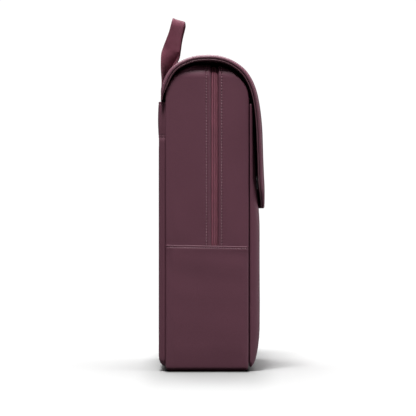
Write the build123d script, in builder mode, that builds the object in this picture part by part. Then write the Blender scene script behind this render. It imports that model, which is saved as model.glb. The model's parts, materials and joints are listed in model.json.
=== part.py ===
"""Slim structured travel backpack with an over-the-top flap.

Row frame, millimetres: +Z up, -Y is the bag's front (flap and front pocket), +Y the wearer's back, X across.
The origin is the middle of the base, on the surface that the bag stands on.
"""

import os

from build123d import *

os.makedirs("parts", exist_ok=True)

# ---- driving dimensions -------------------------------------------------------------------------
BODY_HALF_WIDTH = 145.0
BODY_REAR = 60.0
BODY_FRONT = -54.5
BODY_TOP = 420.0
CROWN_Y = 4.0  # where the body's arched top is highest
REAR_SHOULDER_Z = 376.0  # the rear wall is straight up to here
FRONT_SHOULDER_Z = 372.0
TOP_CORNER = 26.0  # corner radius seen from the front, at the top
BASE_CORNER = 8.0  # and at the base
BASE_ROUND = 11.0  # corner radius seen from the side
WALL = 2.4
LINING_GAP = 0.1
LINING = 0.6
INNER = WALL + LINING_GAP + LINING + 0.1  # where loose things inside may start

SEAM_Z = 172.2  # cross seam on the sides, where the zip ends
WALL_TOP_Z = 392.0  # the flat walls stop here and the top strips begin
ZIP_Y = -7.1
ZIP_GAP = 11.0
TAPE_INSET, TAPE = 1.4, 0.8
COIL_WIDTH, COIL = 5.4, 0.6

BACK_FACE = 68.7
BACK_LAYER = 1.75
PAD_X = 139.0
CHANNEL_IN, CHANNEL_OUT = 26.0, 100.0
LUMBAR_TOP = 40.0
YOKE_LOW, YOKE_HIGH, YOKE = 320.0, 368.0, 1.5
STRAP_X = 62.0
STRAP_WIDTH, STRAP = 58.0, 6.0
STRAP_LOW = 150.0
WEB_WIDTH, WEB = 25.0, 1.6

FLAP_HALF_WIDTH = 150.0
FLAP_THICK = 7.0
FLAP_BINDING = 2.0
FLAP_CORNER = 30.0
FLAP_LOW = 223.0
SKIN = 1.4
LAYER_GAP = 0.1
HINGE_Y, HINGE_Z = 70.5, 369.0

POCKET_HALF_WIDTH = 142.0
POCKET_SKIN = 1.4
POCKET_FOAM = 2.0
POCKET_TOP = 366.0

SNAP_X, SNAP_Z = 95.0, 259.0
SNAP_R = 9.0
SOCKET_FACE, STUD_FACE = -64.85, -67.2  # their discs lie on the pocket and on the flap lining

SLIDER_Z = 186.0
PULL_AXIS_X = 148.3
SPAN = 400.0  # longer than anything, for cutting boxes


def save(piece, name):
    """Labels a finished sub-part and writes its STEP file."""
    piece.label = name
    export_step(piece, f"parts/{name}.step")


def body_hull(inset):
    """The closed outer form of the bag's body, with every face moved in by inset."""
    rear, front = BODY_REAR - inset, BODY_FRONT + inset
    top, low, half = BODY_TOP - inset, inset, BODY_HALF_WIDTH - inset
    turn = max(BASE_ROUND - inset, 2.0)
    crown, foot = max(TOP_CORNER - inset, 2.0), max(BASE_CORNER - inset, 2.0)
    with BuildPart() as hull:
        with BuildSketch(Plane.YZ.offset(-half)):
            with BuildLine():
                Line((front, FRONT_SHOULDER_Z), (front, low + turn))
                CenterArc((front + turn, low + turn), turn, 180, 90)
                Line((front + turn, low), (rear - turn, low))
                CenterArc((rear - turn, low + turn), turn, 270, 90)
                Line((rear, low + turn), (rear, REAR_SHOULDER_Z))
                EllipticalCenterArc(
                    (CROWN_Y, REAR_SHOULDER_Z), rear - CROWN_Y, top - REAR_SHOULDER_Z, 0, arc_size=90
                )
                EllipticalCenterArc(
                    (CROWN_Y, FRONT_SHOULDER_Z), CROWN_Y - front, top - FRONT_SHOULDER_Z, 90,
                    arc_size=90,
                )
            make_face()
        extrude(amount=2 * half)
        with BuildSketch(Plane.XZ.offset(SPAN)):
            with BuildLine():
                FilletPolyline(
                    (half, low), (half, top), (-half, top), (-half, low),
                    radius=(foot, crown, crown, foot), close=True,
                )
            make_face()
        extrude(amount=-2 * SPAN, mode=Mode.INTERSECT)
    return hull.part


def clipped(solid, x, y, z):
    """The part of solid inside a box, given as three (low, high) ranges."""
    with BuildPart() as piece:
        add(solid)
        with Locations(((x[0] + x[1]) / 2, (y[0] + y[1]) / 2, (z[0] + z[1]) / 2)):
            Box(x[1] - x[0], y[1] - y[0], z[1] - z[0], mode=Mode.INTERSECT)
    return piece.part


def block(x, y, z, radius=0.0, chosen=None):
    """A box given as three ranges, with the chosen edges rounded."""
    with BuildPart() as piece:
        with Locations(((x[0] + x[1]) / 2, (y[0] + y[1]) / 2, (z[0] + z[1]) / 2)):
            Box(x[1] - x[0], y[1] - y[0], z[1] - z[0])
        if radius:
            fillet(chosen(piece.edges()), radius)
    return piece.part


def sided(side, low, high):
    """An X range on the right (side 1) or mirrored to the left (side -1)."""
    return (low, high) if side > 0 else (-high, -low)


def gapless(solid):
    """Solid with the zip's gap cut out of it, above the cross seam."""
    with BuildPart() as piece:
        add(solid)
        with Locations((0, ZIP_Y, SEAM_Z + SPAN / 2)):
            Box(SPAN, ZIP_GAP, SPAN, mode=Mode.SUBTRACT)
    return piece.part


SIDES = (("left", -1), ("right", 1))
GAP_REAR, GAP_FRONT = ZIP_Y + ZIP_GAP / 2, ZIP_Y - ZIP_GAP / 2
FLAT_X = BODY_HALF_WIDTH - WALL
ACROSS = (-SPAN, SPAN)
DEEP = (-SPAN, SPAN)


# ---- body shell: sewn panels --------------------------------------------------------------------
with BuildPart() as shell:
    add(body_hull(0))
    add(body_hull(WALL), mode=Mode.SUBTRACT)

save(clipped(shell.part, ACROSS, DEEP, (0, BASE_ROUND)), "base_panel")
save(clipped(shell.part, (-FLAT_X, FLAT_X), (20, SPAN), (BASE_ROUND, WALL_TOP_Z)), "rear_wall")
save(clipped(shell.part, (-FLAT_X, FLAT_X), (-SPAN, -20), (BASE_ROUND, WALL_TOP_Z)), "front_wall")
for side_name, side in SIDES:
    wall_x = sided(side, FLAT_X, BODY_HALF_WIDTH)
    lower = clipped(shell.part, wall_x, DEEP, (BASE_ROUND, SEAM_Z))
    save(lower, f"side_lower_{side_name}")
    rear_strip = clipped(shell.part, wall_x, (GAP_REAR, SPAN), (SEAM_Z, WALL_TOP_Z))
    save(rear_strip, f"side_rear_{side_name}")
    front_strip = clipped(shell.part, wall_x, (-SPAN, GAP_FRONT), (SEAM_Z, WALL_TOP_Z))
    save(front_strip, f"side_front_{side_name}")
save(clipped(shell.part, ACROSS, (GAP_REAR, SPAN), (WALL_TOP_Z, SPAN + BODY_TOP)), "top_rear")
save(clipped(shell.part, ACROSS, (-SPAN, GAP_FRONT), (WALL_TOP_Z, SPAN + BODY_TOP)), "top_front")

with BuildPart() as lining_bag:
    add(body_hull(WALL + LINING_GAP))
    add(body_hull(WALL + LINING_GAP + LINING), mode=Mode.SUBTRACT)
save(gapless(lining_bag.part), "lining")


# ---- main zip: tape and coil over both sides and the top ----------------------------------------
with BuildPart() as tape_band:
    add(body_hull(TAPE_INSET))
    add(body_hull(TAPE_INSET + TAPE), mode=Mode.SUBTRACT)
with BuildPart() as coil_band:
    add(body_hull(TAPE_INSET - COIL))
    add(body_hull(TAPE_INSET), mode=Mode.SUBTRACT)

tape_y = (GAP_FRONT + LAYER_GAP, GAP_REAR - LAYER_GAP)
coil_y = (ZIP_Y - COIL_WIDTH / 2, ZIP_Y + COIL_WIDTH / 2)
run_z = (SEAM_Z + LAYER_GAP, WALL_TOP_Z)
crown_z = (WALL_TOP_Z, BODY_TOP + 1)
for side_name, side in SIDES:
    reach = sided(side, 100, SPAN)
    save(clipped(tape_band.part, reach, tape_y, run_z), f"zip_tape_{side_name}")
    save(clipped(coil_band.part, reach, coil_y, run_z), f"zip_coil_{side_name}")
save(clipped(tape_band.part, ACROSS, tape_y, crown_z), "zip_tape_top")
save(clipped(coil_band.part, ACROSS, coil_y, crown_z), "zip_coil_top")

# the slider, parked at the zip's closed end on the right side
SLIDER_WIDTH, SLIDER_LONG = 9.0, 12.0
SLIDER_IN, SLIDER_OUT = BODY_HALF_WIDTH - TAPE_INSET + COIL + 0.1, BODY_HALF_WIDTH + 2.1
BRIDGE_OUT = 149.8
PIN_R, PIN_HOLE_R = 0.8, 0.86
with BuildPart() as zip_slider:
    with Locations(((SLIDER_IN + SLIDER_OUT) / 2, ZIP_Y, SLIDER_Z)):
        Box(SLIDER_OUT - SLIDER_IN, SLIDER_WIDTH, SLIDER_LONG)
    fillet(zip_slider.edges().filter_by(Axis.X), 2.5)
    with Locations(((SLIDER_OUT + BRIDGE_OUT) / 2 - 0.5, ZIP_Y, SLIDER_Z)):
        Box(BRIDGE_OUT - SLIDER_OUT + 1.0, 2.6, 8.0)
    with Locations(Plane((PULL_AXIS_X, ZIP_Y, SLIDER_Z), z_dir=(0, 1, 0))):
        Cylinder(PIN_HOLE_R, 10, mode=Mode.SUBTRACT)
save(zip_slider.part, "zip_slider")

PULL_HALF, PULL_ARM, PULL_LONG = 4.0, 7.5, 30.0
PULL_IN = SLIDER_OUT + 0.25
PULL_OUT = 2 * PULL_AXIS_X - PULL_IN
with BuildPart() as zip_pull:
    with Locations(Plane((PULL_AXIS_X, ZIP_Y, SLIDER_Z), z_dir=(0, 1, 0))):
        Cylinder(PIN_R, 2 * PULL_HALF)
    for arm in (-1, 1):
        with Locations(
            (PULL_AXIS_X, ZIP_Y + arm * (PULL_HALF - 0.7), SLIDER_Z - PULL_ARM / 2 + 0.6)
        ):
            Box(PULL_OUT - PULL_IN, 1.8, PULL_ARM)
    with Locations((PULL_AXIS_X, ZIP_Y, SLIDER_Z - PULL_ARM - 0.6)):
        Box(PULL_OUT - PULL_IN, 2 * PULL_HALF + 0.4, 3.0)
save(zip_pull.part, "zip_pull")
with BuildPart() as pull_tab:
    with Locations((PULL_AXIS_X, ZIP_Y, SLIDER_Z - PULL_ARM - 2.2 - PULL_LONG / 2)):
        Box(1.9, 9.0, PULL_LONG)
    fillet(pull_tab.edges().filter_by(Axis.X), 3.0)
save(pull_tab.part, "zip_pull_tab")


# ---- things inside the body ---------------------------------------------------------------------
inside_x = BODY_HALF_WIDTH - INNER
board_top = INNER + 2.0
save(block((-132, 132), (-44, 50), (INNER, board_top)), "base_board")

SHEET = 1.5
sheet_y = (BODY_REAR - INNER - SHEET, BODY_REAR - INNER)
save(
    block((-125, 125), sheet_y, (30, 345), 12, lambda e: e.filter_by(Axis.Y)), "frame_sheet"
)

DIVIDER_Y, DIVIDER = 24.0, 5.0
with BuildPart() as laptop_divider:
    with Locations((0, DIVIDER_Y + DIVIDER / 2, (board_top + 0.1 + 300) / 2)):
        Box(2 * inside_x - 6, DIVIDER, 300 - board_top - 0.1)
    with BuildSketch(Plane.XZ):
        with Locations((0, 300)):
            SlotOverall(120, 36)
    extrude(amount=-SPAN / 4, mode=Mode.SUBTRACT)
save(laptop_divider.part, "laptop_divider")

STRAP_TAB_Y = DIVIDER_Y + DIVIDER
with BuildPart() as laptop_tab:
    with BuildSketch(Plane.YZ):
        with BuildLine():
            Polyline(
                (STRAP_TAB_Y + 0.1, 230), (STRAP_TAB_Y + 1.7, 230), (STRAP_TAB_Y + 1.7, 306),
                (sheet_y[0] - 0.1, 322), (sheet_y[0] - 0.1, 324), (STRAP_TAB_Y + 0.1, 307.5),
                close=True,
            )
        make_face()
    extrude(amount=12, both=True)
save(laptop_tab.part, "laptop_tab")

SLIP_DEEP, SLIP_WALL = 14.0, 1.5
slip_front = BODY_FRONT + INNER
with BuildPart() as slip_pocket:
    with Locations((0, slip_front + SLIP_DEEP / 2, 150)):
        Box(220, SLIP_DEEP, 170)
    with Locations((0, slip_front + (SLIP_DEEP - SLIP_WALL) / 2, 150 + SLIP_WALL)):
        Box(220 - 2 * SLIP_WALL, SLIP_DEEP - SLIP_WALL, 170, mode=Mode.SUBTRACT)
save(slip_pocket.part, "slip_pocket")


# ---- front pocket: a padded panel that thins towards its mouth, under the flap --------------------
POCKET_BACK = BODY_FRONT - 0.1


def pocket_form(inset, top):
    """The pocket's outer form with its front, sides and floor moved in by inset."""
    with BuildPart() as form:
        with BuildSketch(Plane.YZ.offset(inset - POCKET_HALF_WIDTH)):
            with BuildLine():
                face = Spline(
                    (-60.0 + inset, POCKET_TOP), (-61.7 + inset, 330), (-64.6 + inset, 259),
                    (-68.4 + inset, 212), (-68.6 + inset, 185),
                    tangents=((-0.07, -1), (0, -1)),
                )
                down = Line(face @ 1, (-68.6 + inset, 70))
                Spline(
                    down @ 1, (-66.6 + inset, 28), (-60.5 + inset * 0.4, 8.5 + inset * 0.9),
                    (POCKET_BACK, 5.5 + inset),
                    tangents=((0, -1), (1, -0.25)),
                )
                Line((POCKET_BACK, 5.5 + inset), (POCKET_BACK, POCKET_TOP))
                Line((POCKET_BACK, POCKET_TOP), face @ 0)
            make_face()
        extrude(amount=2 * (POCKET_HALF_WIDTH - inset))
    return clipped(form.part, ACROSS, DEEP, (0, top))


def opened(form):
    """A pocket form stretched back past the pocket's rear plane, to cut the pocket open there."""
    with BuildPart() as cutter:
        add(form)
        rear_face = cutter.faces().filter_by(Plane.XZ).sort_by(Axis.Y)[-1]
        extrude(rear_face, amount=5, dir=(0, 1, 0))
    return cutter.part


with BuildPart() as front_pocket:
    add(pocket_form(0, POCKET_TOP))
    add(opened(pocket_form(POCKET_SKIN, POCKET_TOP)), mode=Mode.SUBTRACT)
    with BuildSketch(Plane((SNAP_X, -SPAN, SNAP_Z), x_dir=(1, 0, 0), z_dir=(0, 1, 0))):
        with Locations((0, 0), (-2 * SNAP_X, 0)):
            Circle(3.0)
    extrude(amount=SPAN - 60, mode=Mode.SUBTRACT)
save(front_pocket.part, "front_pocket")

with BuildPart() as front_foam:
    add(pocket_form(POCKET_SKIN + LAYER_GAP, POCKET_TOP))
    add(pocket_form(POCKET_SKIN + LAYER_GAP + POCKET_FOAM, POCKET_TOP), mode=Mode.SUBTRACT)
save(clipped(front_foam.part, (-138, 138), DEEP, (60, 245)), "front_foam")


# ---- snaps: a stud on the flap closes into a socket on the pocket ---------------------------------
SNAP_TILT, SNAP_DISC = 3.4, 1.0
outward = Vector(0, -1, 0).rotate(Axis.X, -SNAP_TILT)
for side_name, side in SIDES:
    here = side * SNAP_X
    with BuildPart(Plane((here, SOCKET_FACE, SNAP_Z), z_dir=outward)) as snap_socket:
        Cylinder(SNAP_R, SNAP_DISC, align=(Align.CENTER, Align.CENTER, Align.MIN))
        Cylinder(2.8, 2.4, align=(Align.CENTER, Align.CENTER, Align.MAX))
        with Locations((0, 0, SNAP_DISC)):
            Hole(2.0, 1.4)
    save(snap_socket.part, f"snap_socket_{side_name}")
    with BuildPart(Plane((here, STUD_FACE, SNAP_Z), z_dir=-outward)) as snap_stud:
        Cylinder(SNAP_R, SNAP_DISC, align=(Align.CENTER, Align.CENTER, Align.MIN))
        with Locations((0, 0, SNAP_DISC)):
            Cylinder(1.7, 0.9, align=(Align.CENTER, Align.CENTER, Align.MIN))
    save(snap_stud.part, f"snap_stud_{side_name}")


# ---- flap: outer skin, foam, lining and a bound edge ----------------------------------------------
FLAP_OUTER = (
    (65.2, 370.5), (62.3, 395.5), (43.5, 421.8), (0, 432.2), (-36.3, 422.6),
    (-57.2, 400.6), (-68.0, 367.9), (-73.2, 305), (-76.0, FLAP_LOW),
)
FLAP_INNER = (
    (62.4, 370.5), (58.6, 389), (40.2, 414.8), (0, 425.2), (-33.6, 415.9),
    (-51.6, 396.0), (-61.1, 366.6), (-66.2, 305), (-69.0, FLAP_LOW),
)
ROOT_DIRECTION, HEM_DIRECTION = (-0.02, 1), (-0.045, -1)


def flap_points(depth):
    """The flap's side curve at a depth under its outer face."""
    share = depth / FLAP_THICK
    pairs = zip(FLAP_OUTER, FLAP_INNER)
    return [(o[0] + (i[0] - o[0]) * share, o[1] + (i[1] - o[1]) * share) for o, i in pairs]


def flap_layer(start, end, inset):
    """The flap's layer between two depths, its free edges moved in by inset."""
    half, low, corner = FLAP_HALF_WIDTH - inset, FLAP_LOW + inset, FLAP_CORNER - inset
    with BuildPart() as layer:
        with BuildSketch(Plane.YZ.offset(-SPAN / 2)):
            with BuildLine():
                over = Spline(*flap_points(start), tangents=(ROOT_DIRECTION, HEM_DIRECTION))
                under = Spline(*flap_points(end), tangents=(ROOT_DIRECTION, HEM_DIRECTION))
                Line(over @ 0, under @ 0)
                Line(over @ 1, under @ 1)
            make_face()
        extrude(amount=SPAN)
        with BuildSketch(Plane.XZ.offset(SPAN)):
            with BuildLine():
                FilletPolyline(
                    (half, low), (half, SPAN + 100), (-half, SPAN + 100), (-half, low),
                    radius=(corner, 1.0, 1.0, corner), close=True,
                )
            make_face()
        extrude(amount=-2 * SPAN, mode=Mode.INTERSECT)
    return layer.part


panel_edge = FLAP_BINDING + LAYER_GAP
save(flap_layer(0, SKIN, panel_edge), "flap_outer")
foam = flap_layer(SKIN + LAYER_GAP, FLAP_THICK - SKIN - LAYER_GAP, panel_edge + 0.5)
save(foam, "flap_foam")
save(flap_layer(FLAP_THICK - SKIN, FLAP_THICK, panel_edge), "flap_lining")
with BuildPart() as flap_binding:
    add(flap_layer(0, FLAP_THICK, 0))
    add(flap_layer(-1, FLAP_THICK + 1, FLAP_BINDING), mode=Mode.SUBTRACT)
save(flap_binding.part, "flap_binding")


# ---- grab handle: one webbing, flat on the bag's back and turned on edge above it ------------------
HANDLE_X, HANDLE_WEB, HANDLE_WIDTH = 50.0, 2.0, 24.0
LEAN = 15.0
LEG_SECTIONS = (  # height, middle of the webbing front to back, turn on edge, lean forward
    (371.0, 66.7, 0, 0), (388.0, 65.6, 0, 0), (400.0, 63.9, 5, 0), (412.0, 61.2, 22, 0),
    (423.0, 57.3, 50, 0), (434.0, 53.7, 90, LEAN),
)
GRIP_RISE, GRIP_CORNER = 48.5, 24.0


def leg_plane(side, height, middle, turn, lean):
    """The plane of one section through a handle leg, its x along the webbing's width."""
    up = Vector(0, 0, 1).rotate(Axis.X, lean)
    along = Vector(1, 0, 0).rotate(Axis.Z, side * turn).rotate(Axis.X, lean)
    return Plane((side * HANDLE_X, middle, height), x_dir=along, z_dir=up)


with BuildPart() as handle:
    for side_name, side in SIDES:
        for height, middle, turn, lean in LEG_SECTIONS:
            with BuildSketch(leg_plane(side, height, middle, turn, lean)):
                Rectangle(HANDLE_WIDTH, HANDLE_WEB)
        loft()
    root = LEG_SECTIONS[-1]
    leaning = Plane(
        (0, root[1], root[0]), x_dir=(1, 0, 0), z_dir=Vector(0, -1, 0).rotate(Axis.X, LEAN)
    )
    with BuildSketch(leaning):
        with BuildLine():
            arch = FilletPolyline(
                (-HANDLE_X, 0), (-HANDLE_X, GRIP_RISE), (HANDLE_X, GRIP_RISE), (HANDLE_X, 0),
                radius=GRIP_CORNER,
            )
            offset(arch, amount=HANDLE_WEB / 2, side=Side.BOTH)
        make_face()
    extrude(amount=HANDLE_WIDTH / 2, both=True)
save(handle.part, "grab_handle")


# ---- back: layer, pads and yoke -------------------------------------------------------------------
layer_y = (BODY_REAR + 0.05, BODY_REAR + 0.05 + BACK_LAYER)
pad_y = (layer_y[1] + 0.05, BACK_FACE)
save(block((-PAD_X, PAD_X), layer_y, (8, 366), 10, lambda e: e.filter_by(Axis.Y)), "back_layer")


def outer_edges(edges):
    """The edges round the face that the wearer's back touches."""
    return edges.group_by(Axis.Y)[-1]


for side_name, side in SIDES:
    bolster = block(sided(side, CHANNEL_OUT, PAD_X), pad_y, (8, YOKE_LOW - 1), 4, outer_edges)
    save(bolster, f"back_pad_{side_name}")
save(
    block((-CHANNEL_IN, CHANNEL_IN), pad_y, (LUMBAR_TOP + 4, YOKE_LOW - 1), 4, outer_edges),
    "back_pad_centre",
)
WEB_LOW = 24.0  # the strap webbing is sewn in under the lumbar pad
with BuildPart() as lumbar_pad:
    add(block((-CHANNEL_OUT + 1, CHANNEL_OUT - 1), pad_y, (8, LUMBAR_TOP), 4, outer_edges))
    with Locations(*[(side * STRAP_X, pad_y[0], LUMBAR_TOP) for side_name, side in SIDES]):
        Box(WEB_WIDTH + 1, 2 * (WEB + 0.5), 2 * (LUMBAR_TOP - WEB_LOW + 0.5), mode=Mode.SUBTRACT)
save(lumbar_pad.part, "lumbar_pad")
yoke_face = BACK_FACE - 0.3
with BuildPart() as yoke_core:
    with Locations((0, (pad_y[0] + yoke_face) / 2, (YOKE_LOW + YOKE_HIGH) / 2)):
        Box(2 * PAD_X, yoke_face - pad_y[0], YOKE_HIGH - YOKE_LOW - 4)
save(yoke_core.part, "yoke_core")
YOKE_X = PAD_X + 0.1 + YOKE
with BuildPart() as yoke_band:
    with BuildSketch(Plane.XY.offset(YOKE_LOW)):
        with Locations((0, BODY_REAR + 0.3)):
            Rectangle(
                2 * YOKE_X, yoke_face + 0.05 + YOKE - BODY_REAR - 0.3,
                align=(Align.CENTER, Align.MIN),
            )
        with Locations((0, BODY_REAR)):
            Rectangle(
                2 * (YOKE_X - YOKE), yoke_face + 0.05 - BODY_REAR,
                align=(Align.CENTER, Align.MIN), mode=Mode.SUBTRACT,
            )
    extrude(amount=YOKE_HIGH - YOKE_LOW)
    fillet(yoke_band.edges().filter_by(Axis.Z).group_by(Axis.Y)[-1], 1.4)
save(yoke_band.part, "yoke_band")


# ---- shoulder straps, lying in the two channels of the back ---------------------------------------
strap_y = (pad_y[0] + 0.1, pad_y[0] + 0.1 + STRAP)
LOCK_TALL, LOCK_WIDE, LOCK, BAR = 24.0, 34.0, 2.2, 4.0
lock_top = STRAP_LOW - 1.0
lock_y = (strap_y[0] + 2.0, strap_y[0] + 2.0 + LOCK)
SLOT = (LOCK_TALL - 4 * BAR) / 3
slot_z = [lock_top - BAR - SLOT / 2 - n * (BAR + SLOT) for n in range(3)]
web_y = (strap_y[0] + 0.15, strap_y[0] + 0.15 + WEB)
tail_y = (lock_y[1] + 0.2, lock_y[1] + 0.2 + WEB)
TAIL = 62.0
for side_name, side in SIDES:
    centre = side * STRAP_X
    with BuildPart() as strap:
        with BuildSketch(Plane.XZ.offset(-strap_y[0])):
            half_top, half_low = STRAP_WIDTH / 2, LOCK_WIDE / 2 - 1
            with BuildLine():
                Polyline(
                    (centre - half_low, STRAP_LOW), (centre + half_low, STRAP_LOW),
                    (centre + half_top, STRAP_LOW + 60), (centre + half_top, YOKE_LOW - 0.5),
                    (centre - half_top, YOKE_LOW - 0.5), (centre - half_top, STRAP_LOW + 60),
                    close=True,
                )
            make_face()
        extrude(amount=-STRAP)
        fillet(outer_edges(strap.edges()), 2)
        for run_y in (web_y, tail_y):  # its end loop holds the lock by the top bar
            with Locations((centre, (run_y[0] + run_y[1]) / 2, (slot_z[0] + STRAP_LOW) / 2)):
                Box(WEB_WIDTH, run_y[1] - run_y[0], STRAP_LOW - slot_z[0] + 0.8)
        with Locations((centre, (web_y[0] + tail_y[1]) / 2, slot_z[0] - 0.3)):
            Box(WEB_WIDTH, tail_y[1] - web_y[0], 1.1)
    save(strap.part, f"shoulder_strap_{side_name}")

    with BuildPart() as ladder_lock:
        with Locations((centre, (lock_y[0] + lock_y[1]) / 2, lock_top - LOCK_TALL / 2)):
            Box(LOCK_WIDE, LOCK, LOCK_TALL)
        fillet(ladder_lock.edges().filter_by(Axis.Y), 3)
        with Locations(*[(centre, (lock_y[0] + lock_y[1]) / 2, z) for z in slot_z]):
            Box(WEB_WIDTH + 2, LOCK + 1, SLOT, mode=Mode.SUBTRACT)
    save(ladder_lock.part, f"ladder_lock_{side_name}")

    with BuildPart() as webbing:  # up behind the lock, over its third bar and down as the tail
        with Locations((centre, (web_y[0] + web_y[1]) / 2, (WEB_LOW + slot_z[1]) / 2)):
            Box(WEB_WIDTH, WEB, slot_z[1] - WEB_LOW + 0.9)
        with Locations((centre, (web_y[0] + tail_y[1]) / 2, slot_z[1])):
            Box(WEB_WIDTH, tail_y[1] - web_y[0], 0.9)
        with Locations((centre, (tail_y[0] + tail_y[1]) / 2, slot_z[1] - TAIL / 2)):
            Box(WEB_WIDTH, WEB, TAIL + 0.9)
    save(webbing.part, f"strap_webbing_{side_name}")
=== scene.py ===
"""Travel backpack: its looks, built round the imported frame, in millimetres until a mesh is made."""

import json
import math

import bmesh
import bpy
import numpy as np
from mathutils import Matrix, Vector


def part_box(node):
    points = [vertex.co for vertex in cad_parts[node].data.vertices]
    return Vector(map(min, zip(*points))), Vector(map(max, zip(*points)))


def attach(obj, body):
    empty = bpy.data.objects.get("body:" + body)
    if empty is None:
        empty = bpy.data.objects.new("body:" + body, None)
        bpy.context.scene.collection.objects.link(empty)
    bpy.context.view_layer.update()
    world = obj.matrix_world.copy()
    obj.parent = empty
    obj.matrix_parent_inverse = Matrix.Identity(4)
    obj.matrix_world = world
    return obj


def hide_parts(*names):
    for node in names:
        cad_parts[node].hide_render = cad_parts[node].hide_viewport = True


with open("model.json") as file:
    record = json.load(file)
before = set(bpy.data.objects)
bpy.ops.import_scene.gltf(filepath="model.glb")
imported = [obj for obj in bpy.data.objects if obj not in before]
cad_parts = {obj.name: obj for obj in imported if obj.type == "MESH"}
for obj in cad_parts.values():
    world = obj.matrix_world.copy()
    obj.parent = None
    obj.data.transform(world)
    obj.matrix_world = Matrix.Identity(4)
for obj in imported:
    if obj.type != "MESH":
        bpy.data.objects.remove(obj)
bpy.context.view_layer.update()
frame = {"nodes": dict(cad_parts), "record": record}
MM = 0.001


# ---- where things are, from the frame ----
def node_box(node):
    """The low and high corners of a CAD node, in millimetres."""
    low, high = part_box(node)
    return np.array(low) / MM, np.array(high) / MM


body_low, body_high = node_box("base_panel")
HALF, FRONT, REAR = body_high[0], body_low[1], body_high[1]
TOP = node_box("top_rear")[1][2]
SEAM = node_box("side_lower_left")[1][2]
tape_low, tape_high = node_box("zip_tape_left")
ZIP_Y = (tape_low[1] + tape_high[1]) / 2
LIP_REAR, LIP_FRONT = node_box("side_rear_left")[0][1], node_box("side_front_left")[1][1]
REAR_SHOULDER, FRONT_SHOULDER, CROWN_Y = 376.0, 372.0, 4.0
SEAM_GAP = 0.9  # half the dark seam between the side panels and the front pocket
MIDDLE_Y, HALF_DEPTH = 3.0, 57.0  # of the bag's sides, front to back
FRONT_EDGE = FRONT + SEAM_GAP


# ---- meshes ----
def to_piece(name, verts, faces, body, replaces=(), uv=None, sharp=None):
    """A mesh object from millimetre points, smooth shaded, riding on a CAD body."""
    mesh = bpy.data.meshes.new(name)
    mesh.from_pydata((np.asarray(verts, float) * MM).tolist(), [], faces)
    mesh.update()
    if uv is not None:
        layer = mesh.uv_layers.new(name="UVMap")
        index = np.zeros(len(mesh.loops), np.int32)
        mesh.loops.foreach_get("vertex_index", index)
        layer.data.foreach_set("uv", (np.asarray(uv, float) * MM)[index].ravel())
    mesh.polygons.foreach_set("use_smooth", np.ones(len(mesh.polygons), bool))
    if sharp:
        mesh.set_sharp_from_angle(angle=math.radians(sharp))
    piece = bpy.data.objects.new(name, mesh)
    bpy.context.scene.collection.objects.link(piece)
    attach(piece, body)
    if replaces:
        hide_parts(*replaces)
    return piece


def weld(piece, distance=2e-6):
    """Joins points that lie on each other and makes all faces point outwards."""
    bm = bmesh.new()
    bm.from_mesh(piece.data)
    bmesh.ops.remove_doubles(bm, verts=bm.verts, dist=distance)
    bmesh.ops.dissolve_degenerate(bm, edges=bm.edges, dist=1e-7)
    bmesh.ops.recalc_face_normals(bm, faces=bm.faces)
    bm.to_mesh(piece.data)
    bm.free()
    return piece


def grid_faces(rows, cols, start=0, flip=False):
    """Quads of a grid of points."""
    r, c = np.meshgrid(np.arange(rows - 1), np.arange(cols - 1), indexing="ij")
    a = (start + r * cols + c).ravel()
    quads = np.stack([a, a + 1, a + cols + 1, a + cols], 1)
    return (quads[:, ::-1] if flip else quads).tolist()


def rim_faces(rows, cols):
    """Quads that join the borders of a front grid and a back grid of the same size."""
    ring = [(0, c) for c in range(cols)] + [(r, cols - 1) for r in range(1, rows)]
    ring += [(rows - 1, c) for c in range(cols - 2, -1, -1)] + [(r, 0) for r in range(rows - 2, 0, -1)]
    front = [r * cols + c for r, c in ring]
    back = [i + rows * cols for i in front]
    n = len(front)
    return [[front[k], back[k], back[(k + 1) % n], front[(k + 1) % n]] for k in range(n)]


def tube_faces(rings, sides, capped=True):
    """Quads round a tube from ring to ring, with a face over each end if capped."""
    faces = []
    for r in range(rings - 1):
        for c in range(sides):
            a, b = r * sides + c, r * sides + (c + 1) % sides
            faces.append([a, b, b + sides, a + sides])
    if capped:
        faces += [list(range(sides))[::-1], list(range((rings - 1) * sides, rings * sides))]
    return faces


def closed(name, outer, inner, body, slot, replaces=(), uv=None):
    """A closed sheet between two grids of points."""
    rows, cols = outer.shape[:2]
    verts = np.concatenate([outer.reshape(-1, 3), inner.reshape(-1, 3)])
    faces = grid_faces(rows, cols) + grid_faces(rows, cols, rows * cols, True) + rim_faces(rows, cols)
    both = None if uv is None else np.concatenate([uv.reshape(-1, 2)] * 2)
    return weld(to_piece(name, verts, faces, body, replaces, both))


def unit(v):
    """Vectors of length 1."""
    return v / np.maximum(np.linalg.norm(v, axis=-1, keepdims=True), 1e-9)


def normals(points, heart=(0, 0, 200)):
    """Unit normals of a grid of points, on the side away from the bag's heart."""
    n = unit(np.cross(np.gradient(points, axis=0), np.gradient(points, axis=1)))
    mid = tuple(s // 2 for s in points.shape[:2])
    if np.dot(n[mid], points[mid] - np.asarray(heart, float)) < 0:
        n = -n
    return n


def along(points, axis):
    """Distance along a grid's axis, from its start."""
    step = np.linalg.norm(np.diff(points, axis=axis), axis=-1)
    pad = [(0, 0), (0, 0)]
    pad[axis] = (1, 0)
    return np.pad(np.cumsum(step, axis=axis), pad)


def roll(d, radius):
    """How far a rounded edge has dropped at a distance d from its end."""
    d = np.clip(d, 0, radius)
    return radius - np.sqrt(np.maximum(radius**2 - (radius - d) ** 2, 0))


def bull(d, radius):
    """Half thickness of a sheet with a rounded edge, at a distance d from the edge."""
    return radius - roll(d, radius)


def ease(t):
    """0 to 1 with soft ends, as t goes from 0 to 1."""
    t = np.clip(t, 0, 1)
    return t * t * (3 - 2 * t)


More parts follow.
